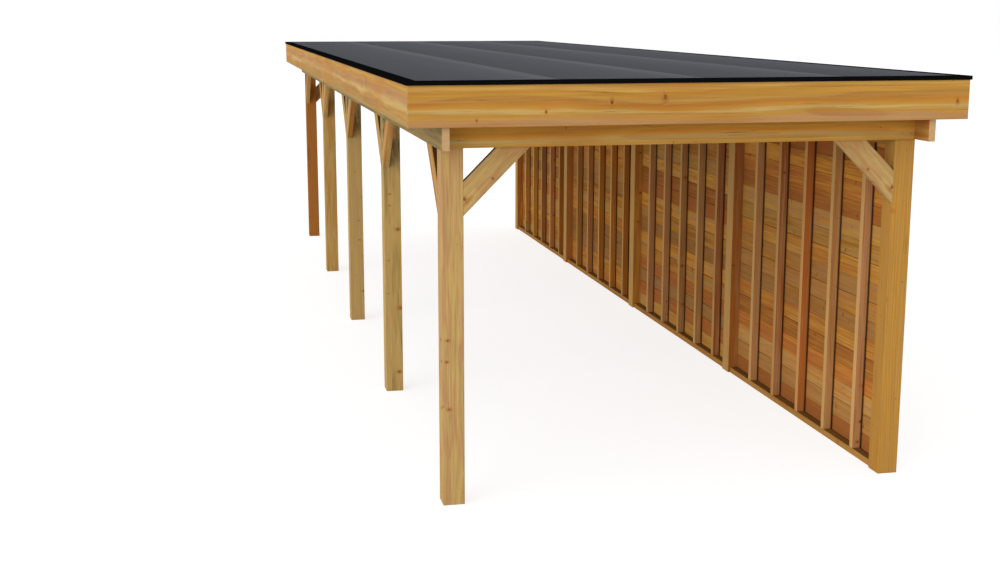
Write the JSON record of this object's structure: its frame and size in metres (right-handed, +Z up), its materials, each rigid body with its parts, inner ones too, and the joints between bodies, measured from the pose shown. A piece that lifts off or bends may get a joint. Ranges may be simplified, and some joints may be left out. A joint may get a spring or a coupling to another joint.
{
  "type": "freestanding patio cover",
  "caption": "Long flat-roofed timber shelter, open along one side and at both ends, with a studded and boarded wall along the other side.",
  "frame": {"origin": "on the ground, in the middle of the roof's plan", "axes": "+X from the open row of posts to the walled row, +Y along the length from the front end to the rear end, +Z up"},
  "size_m": [3.895, 12.67, 2.898],
  "materials": {
    "post_timber": "planed softwood, matt",
    "beam_timber": "planed softwood, matt",
    "brace_timber": "planed softwood, matt",
    "stud_timber": "planed softwood, matt",
    "cladding_boards": "overlapping softwood boards, matt",
    "roof_boards": "tongued softwood boards, matt",
    "roofing_sheet": "slate grey roofing membrane, matt",
    "fascia_timber": "planed softwood, matt",
    "edge_trim": "black coated metal, satin"
  },
  "bodies": {
    "root": {"left_post_1": "post_timber", "left_post_2": "post_timber", "left_post_3": "post_timber", "left_post_4": "post_timber", "left_post_5": "post_timber", "right_post_1": "post_timber", "right_post_2": "post_timber", "right_post_3": "post_timber", "right_post_4": "post_timber", "right_post_5": "post_timber", "left_beam": "beam_timber", "right_beam": "beam_timber", "front_cross_beam": "beam_timber", "rear_cross_beam": "beam_timber", "left_braces_bay_1": "brace_timber", "left_braces_bay_2": "brace_timber", "left_braces_bay_3": "brace_timber", "left_braces_bay_4": "brace_timber", "front_braces": "brace_timber", "rear_braces": "brace_timber", "wall_bottom_plates": "stud_timber", "wall_top_plates": "stud_timber", "wall_studs_bay_1": "stud_timber", "wall_studs_bay_2": "stud_timber", "wall_studs_bay_3": "stud_timber", "wall_studs_bay_4": "stud_timber", "wall_cladding_bay_1": "cladding_boards", "wall_cladding_bay_2": "cladding_boards", "wall_cladding_bay_3": "cladding_boards", "wall_cladding_bay_4": "cladding_boards", "roof_joists": "beam_timber", "roof_deck": "roof_boards", "roof_sheet_1": "roofing_sheet", "roof_sheet_2": "roofing_sheet", "roof_sheet_3": "roofing_sheet", "roof_sheet_4": "roofing_sheet", "front_fascia": "fascia_timber", "rear_fascia": "fascia_timber", "left_fascia": "fascia_timber", "right_fascia": "fascia_timber", "front_trim": "edge_trim", "rear_trim": "edge_trim", "left_trim": "edge_trim", "right_trim": "edge_trim"}
  },
  "joints": []
}
